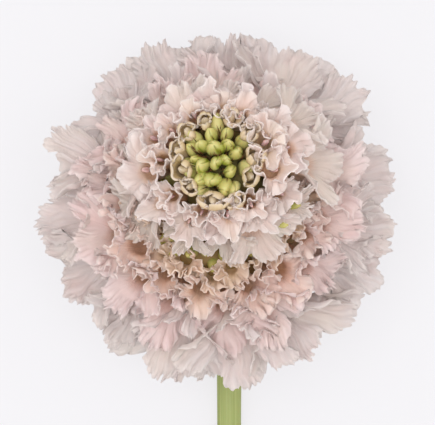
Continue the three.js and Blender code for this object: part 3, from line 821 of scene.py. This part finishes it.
FUNNEL_PETAL = petal(
    "funnel_petal",
    [(0.2, 190, 150, 86), (0.4, 226, 188, 142), (0.58, 243, 222, 206), (1, 243, 234, 227)],
    [(0.2, 236, 170, 116), (0.37, 248, 208, 180), (0.56, 251, 231, 225), (1, 244, 236, 233)],
    (1, 0.958, 0.94, 1), 0.66, relief=0.6,
)
OLIVE_PETAL = petal(
    "olive_petal",
    [(0, 120, 98, 44), (0.3, 160, 136, 70), (0.65, 200, 176, 118), (1, 236, 220, 182)],
    [(0, 128, 102, 50), (0.3, 176, 144, 86), (0.65, 216, 188, 144), (1, 240, 222, 198)],
    (0.86, 0.74, 0.5, 1), 0.35, vary=0.4,
)
# Greens: deep, fresh and pale, roughness, and how much of a glossy coat.
BUD = green("crown_bud", (84, 74, 6), (146, 156, 40), (192, 184, 116), 0.42, 0.15)
LOWER_BUD = green("lower_bud", (92, 86, 22), (160, 160, 68), (204, 202, 126), 0.45, 0.1)
BRACT = green("bract", (88, 108, 46), (120, 142, 70), (158, 172, 104), 0.6)
STALK = stalk()
HALF_BUD = green("half_bud", (110, 100, 44), (172, 162, 96), (208, 198, 148), 0.5)
SEAT = green("cushion", (54, 46, 14), (74, 66, 24), (96, 86, 38), 0.8)
ANTHER = green("anther", (146, 112, 108), (182, 146, 144), (204, 174, 170), 0.6)
DOWN = green("down", (168, 178, 138), (198, 204, 172), (224, 228, 206), 0.7)
BRISTLE = green("bristle", (62, 42, 16), (86, 58, 24), (104, 74, 34), 0.6)
LOWER_SEAT = green("lower_cushion", (110, 88, 44), (134, 108, 60), (156, 130, 82), 0.8)

# ---------------- the flower

# What a kind of floret or bud says of itself, beyond what most have alike. Pairs run from its first
# floret to its last.
#   seed, count, start, step, stray: number for its draws, how many, azimuth of the first, degrees to
#     the next, and how far they are drawn off
#   polar, skew, oval, vary, swells: the polar angles that it fills, and the rest as in places
#   mouth, facing, tilt: how far out the mouths are, the share of its polar angle that a floret faces,
#     and how far its axis is drawn off
#   depth, throat, root: the tube's length and its radius at either end
#   fused, lobes, ragged, width: reach of the fused part and of outer, side and inner lobes, how far
#     lobes are drawn longer or shorter, and their half widths in degrees
#   lean, splay, flare: degrees that petals lean off the axis on the outer and on the inner side, how
#     far they fan out, and the length in which they leave the tube's direction
#   sway, curl, pinch: degrees that lobes are drawn up or down, the rim's curl, its draw and where it
#     begins, and how far the width is drawn
#   frills, calm: depth, length, overhang and start of long and short ones; how still outer lobes are
#   pleats, teeth, crumple, crowd: number and depth of the pleats, depth of the teeth, the shift that
#     neighbours share, and how much columns crowd on the outer side
#   thick, lip, columns, rows, tube_rows: thickness at the throat, what the rim adds, and the grid
#   age, ages: from young at 0 to old at 1, and bell curves that add to it
#   middle, half, folds, bristles: a bud's distance out, half width and length, lobes and bristles
PLAIN = dict(
    stray=4, skew=0, oval=0, vary=0.08, root=0.8, ragged=0.16, pinch=0, calm=0, crumple=0.35,
    thick=0.13, lip=0, rows=11, tube_rows=3, swells=(), ages=(),
)
FANS = PLAIN | dict(
    seed=1, count=15, start=62, step=360 * 4 / 15, polar=(76, 90), vary=0.12, mouth=(23.5, 24),
    facing=0.96, tilt=0.18, depth=14, throat=2.6, fused=3,
    lobes=((12.5, 14.5), (11.5, 13.5), (5, 5.5)), ragged=0.22, width=(46, 42, 36),
    lean=((34, 24), (22, 30)), splay=0.66, flare=5, sway=18, curl=(0, 20, 0.5),
    frills=((0.45, 6.4, 0.1, 0.3), (0.4, 2.6, 0.3, 0.7)), calm=0.2, pleats=(62, 0.1),
    teeth=0.8, crowd=0.4, columns=180, rows=10, age=(0.3, 1),
    swells=((25, 11, 0.36), (37, 5, -0.12), (2, 12, -0.1), (58, 16, 0.18), (114, 16, 0.14),
        (156, 12, -0.1), (228, 10, -0.3), (254, 8, -0.08), (312, 14, 0.24), (338, 12, -0.2)),
)
BACK_FANS = FANS | dict(
    seed=11, count=14, start=48, step=360 * 5 / 14, polar=(91, 110),
    lobes=((14.5, 15.5), (13, 14), (5, 5.5)), ragged=0.28, lean=((22, 6), (30, 34)), columns=130,
    age=(0.8, 1.2), swells=FANS["swells"] + ((22, 8, 0.2), (243, 14, 0.2), (275, 24, 0.12)),
)
FRILLS = PLAIN | dict(
    seed=7, count=14, start=350, step=360 / 14, polar=(67, 73), vary=0.14, mouth=(22.2, 22.8),
    facing=0.68, tilt=0.2, depth=13, throat=2.3, fused=2, lobes=((8.4, 9.6), (7, 8.2), (3.8, 4.4)),
    ragged=0.22, width=(44, 40, 40), lean=((38, 42), (20, 24)), splay=0.8, flare=3.6, sway=18,
    curl=(-4, 28, 0.4), frills=((0.95, 4.4, 0.35, 0.5), (0.5, 1.9, 0.5, 0.74)), calm=0.1,
    pleats=(44, 0.035), teeth=0.65, crowd=0.3, columns=160, rows=10, age=(0.5, 1.1),
)
PEACHES = PLAIN | dict(
    seed=12, count=14, start=5, step=360 / 14, polar=(58, 64), vary=0.16, mouth=(20.7, 21.3),
    facing=0.5, tilt=0.2, depth=12, throat=2.1, fused=1.6, lobes=((5, 5.8), (4.4, 5.2), (3.2, 3.8)),
    width=(46, 42, 42), lean=((32, 36), (18, 22)), splay=0.9, flare=3, sway=16, curl=(-6, 30, 0.4),
    frills=((1.05, 4, 0.4, 0.4), (0.5, 1.9, 0.5, 0.7)), pleats=(30, 0.035), teeth=0.4,
    crowd=0.2, columns=130, rows=10, age=(0.7, 0.9),
    ages=((262, 38, -0.8), (205, 12, -0.4), (50, 12, -0.5)),
)
TANS = PLAIN | dict(
    seed=2, count=18, start=100, step=360 * 5 / 18, stray=7, polar=(47, 55), vary=0.18,
    mouth=(18.9, 19.5), facing=0.4, tilt=0.26, depth=10, throat=1.6, fused=0.9,
    lobes=((3.4, 4), (3.1, 3.6), (2.4, 2.8)), width=(46, 42, 42), lean=((30, 34), (24, 28)),
    splay=1, flare=1.6, sway=20, curl=(-14, 36, 0.4),
    frills=((0.8, 3.2, 0.4, 0.3), (0.3, 1.6, 0.5, 0.66)), pleats=(24, 0.04), teeth=0.25,
    crumple=0.3, crowd=0.1, thick=0.2, lip=0.14, columns=104, age=(0, 0.8),
)
RAYS = PLAIN | dict(
    seed=3, count=12, start=150, step=360 * 5 / 12, polar=(78, 87), oval=0.13, vary=0.12,
    mouth=(14.6, 14.4), facing=0.86, tilt=0.14, depth=7.5, throat=1.9, root=0.6, fused=1.6,
    lobes=((7, 8.2), (6.2, 7.4), (2.4, 2.6)), width=(48, 44, 38), lean=((38, 28), (20, 26)),
    splay=0.74, flare=3.2, sway=14, curl=(0, 16, 0.5),
    frills=((0.5, 6.4, 0.2, 0.3), (0.5, 2.2, 0.4, 0.65)), calm=0.2, pleats=(48, 0.08),
    teeth=0.45, crumple=0.25, crowd=0.4, columns=150, age=(0.8, 1.1),
    swells=((265, 26, -0.12), (301, 12, 0.4), (329, 11, -0.35)),
)
WIDE_FUNNELS = PLAIN | dict(
    seed=9, count=12, start=5, step=360 / 12, stray=6, polar=(65, 70), oval=0.08, vary=0.16,
    mouth=(13.9, 14.1), facing=0.45, tilt=0.18, depth=7.5, throat=1.8, root=0.6, fused=1.4,
    lobes=((4.3, 4.9), (3.8, 4.4), (3.2, 3.6)), width=(48, 44, 42), lean=((42, 46), (26, 30)),
    splay=0.9, flare=2.4, sway=16, curl=(0, 30, 0.4), pinch=0.2,
    frills=((0.95, 4.4, 0.4, 0.3), (0.35, 2.2, 0.4, 0.65)), pleats=(28, 0.04), teeth=0.2,
    crumple=0.25, crowd=0.2, thick=0.15, lip=0.1, columns=140, age=(0.1, 0.4),
    swells=((265, 26, -0.15), (328, 12, -0.35)),
)
FUNNELS = PLAIN | dict(
    seed=8, count=11, start=20, step=360 / 11, stray=8, polar=(53, 58), oval=0.04, vary=0.18,
    mouth=(12.8, 13.2), facing=0.3, tilt=0.2, depth=7, throat=1.6, root=0.6, fused=1,
    lobes=((3.2, 3.8), (2.9, 3.5), (2.2, 2.6)), width=(50, 46, 44), lean=((38, 44), (24, 28)),
    splay=1, flare=1.8, sway=16, curl=(0, 34, 0.35), pinch=0.25,
    frills=((0.75, 4, 0.4, 0.2), (0.25, 2.1, 0.4, 0.6)), pleats=(24, 0.03), teeth=0.12,
    crumple=0.2, crowd=0.1, thick=0.18, lip=0.14, columns=130, age=(0.2, 0.8),
)
ANTHERS = WIDE_FUNNELS | dict(
    columns=12, rows=8, age=(0, 0), middle=(15.2, 15.4), half=(0.36, 0.8), folds=1,
)
INNER_ANTHERS = FUNNELS | dict(
    columns=12, rows=8, age=(0, 0), middle=(14, 14.4), half=(0.36, 0.8), folds=1,
)
CUPS = PLAIN | dict(
    seed=4, count=11, start=200, step=360 * 4 / 11, polar=(38, 47), skew=4, oval=-0.05, vary=0.14,
    mouth=(12.4, 12.6), facing=0.36, tilt=0.3, depth=6, throat=1.75, root=0.5, fused=0.9,
    lobes=((1.7, 1.7), (1.5, 1.5), (1.4, 1.4)), width=(40, 36, 36), lean=((24, 28), (20, 24)),
    splay=1, flare=1, sway=16, curl=(-104, 30, 0.3), pinch=0.3,
    frills=((0.22, 3.4, 0.5, 0.1), (0.06, 1.8, 0.4, 0.5)), pleats=(18, 0.02), teeth=0.04,
    crumple=0.15, crowd=0.05, thick=0.3, lip=0.4, columns=80, age=(0, 0.6),
)
HEARTS = CUPS | dict(columns=30, rows=14, middle=(12.3, 12.7), half=(0.95, 1.3), folds=3)
CROWN_BUDS = PLAIN | dict(
    seed=6, count=16, start=300, step=GOLDEN, stray=3, polar=(4, 35), oval=-0.1, vary=0.13, columns=40,
    rows=22, age=(-0.1, 1.2), middle=(11.2, 10.8), half=(1.4, 1.85), folds=2, bristles=6,
)
HALF_BUDS = CROWN_BUDS | dict(
    seed=13, count=7, start=190, step=360 / 7, stray=10, polar=(38, 41), skew=4, oval=-0.08,
    age=(0.8, 0.9), middle=(10.8, 11.2), half=(1.5, 2),
)
LOWER_BUDS = CROWN_BUDS | dict(
    seed=5, count=40, start=270, step=GOLDEN, stray=5, polar=(34, 51), oval=0, vary=0.2, columns=24,
    age=(0.3, 1.3), middle=(17.6, 18.6), half=(1.2, 2),
)
SIDE_BUDS = LOWER_BUDS | dict(
    seed=15, count=2, start=352, step=-16, stray=0, polar=(36, 38), age=(0, 0.6), middle=(26.2, 22.8),
    half=(1.7, 3.4),
)

stem(STALK)
cushion("lower_cushion", LOWER, (11, 18), 8, 160, LOWER_SEAT)
cushion("crown_cushion", CROWN, (7.8, 10), 6, 165, SEAT)
neck(SEAT)
bracts(BRACT, DOWN)
florets("lower_fans", LOWER, FANS, RAY_PETAL, "lower_ray_florets")
florets("lower_back_fans", LOWER, BACK_FANS, RAY_PETAL, "lower_ray_florets")
florets("lower_frills", LOWER, FRILLS, FRILL_PETAL, "lower_ray_florets")
florets("lower_peaches", LOWER, PEACHES, PEACH_PETAL, "lower_inner_florets")
florets("lower_tans", LOWER, TANS, TAN_PETAL, "lower_inner_florets")
buds("lower_buds_dressed", LOWER, LOWER_BUDS, LOWER_BUD, "lower_buds")
buds("lower_side_buds", LOWER, SIDE_BUDS, BUD, "lower_buds")
florets("crown_rays", CROWN, RAYS, CROWN_PETAL, "crown_ray_florets")
florets("crown_wide_funnels", CROWN, WIDE_FUNNELS, CROWN_PETAL, "crown_ray_florets")
florets("crown_funnels", CROWN, FUNNELS, FUNNEL_PETAL, "crown_ray_florets")
florets("crown_cups", CROWN, CUPS, OLIVE_PETAL, "crown_inner_florets")
buds("crown_anthers", CROWN, ANTHERS, ANTHER, "crown_ray_florets")
buds("crown_inner_anthers", CROWN, INNER_ANTHERS, ANTHER, "crown_ray_florets")
buds("crown_hearts", CROWN, HEARTS, OLIVE_PETAL, "crown_inner_florets")
buds("crown_half_buds", CROWN, HALF_BUDS, HALF_BUD, "crown_inner_florets")
buds("crown_buds_dressed", CROWN, CROWN_BUDS, BUD, "crown_buds")
bristles("crown_bristles", CROWN, CROWN_BUDS, BRISTLE, "crown_buds")

# ---------------- floor, light and camera

FLOOR_HALF = 3.0
FLOOR_GLOW = 0.78  # share of what is seen of the floor that is its own light
HEAD_AT = (0, 0.025, 0.03)


def floor():
    """A pale floor that mostly glows, so that the ground stays even."""
    sh = Shader("floor")
    matt = sh.node("BsdfDiffuse", Color=(0.70, 0.71, 0.74, 1))
    glow = sh.node("Emission", Color=(0.9085, 0.892, 0.912, 1), Strength=1.0)
    mesh = bpy.data.meshes.new("floor")
    corners = [(x * FLOOR_HALF, y * FLOOR_HALF, 0) for x, y in ((-1, -1), (1, -1), (1, 1), (-1, 1))]
    mesh.from_pydata(corners, [], [(0, 1, 2, 3)])
    mesh.materials.append(sh.finish(sh.mixed(FLOOR_GLOW, matt, glow)))
    placed("floor", mesh)


def softbox(name, at, size, energy, colour):
    """A square area light that looks at the head."""
    light = bpy.data.lights.new(name, "AREA")
    light.size, light.energy, light.color = size, energy, colour
    lamp = placed(name, light)
    lamp.location = at
    lamp.rotation_euler = (Vector(HEAD_AT) - Vector(at)).to_track_quat("-Z", "Y").to_euler()


floor()
softbox("key", (-0.24, 0.07, 0.95), 0.5, 2.5, (1.0, 0.99, 0.985))
softbox("fill", (0.22, -0.03, 0.95), 0.5, 1.9, (0.985, 0.99, 1.0))

world = bpy.data.worlds.new("studio")
world.use_nodes = True
sky = world.node_tree.nodes["Background"].inputs
sky["Color"].default_value, sky["Strength"].default_value = (0.992, 0.985, 0.984, 1), 1.09
scene = bpy.context.scene
scene.world = world
scene.view_settings.view_transform = "Standard"

EYE_HEIGHT = 0.6
HEAD_HEIGHT = 0.028
VIEW_WIDTH = 0.0951  # what the picture's width takes in at the head's height
camera = placed("camera", bpy.data.cameras.new("camera"))
camera.location = (0.0004, 0.0251, EYE_HEIGHT)
camera.data.lens = camera.data.sensor_width * (EYE_HEIGHT - HEAD_HEIGHT) / VIEW_WIDTH
scene.camera = camera
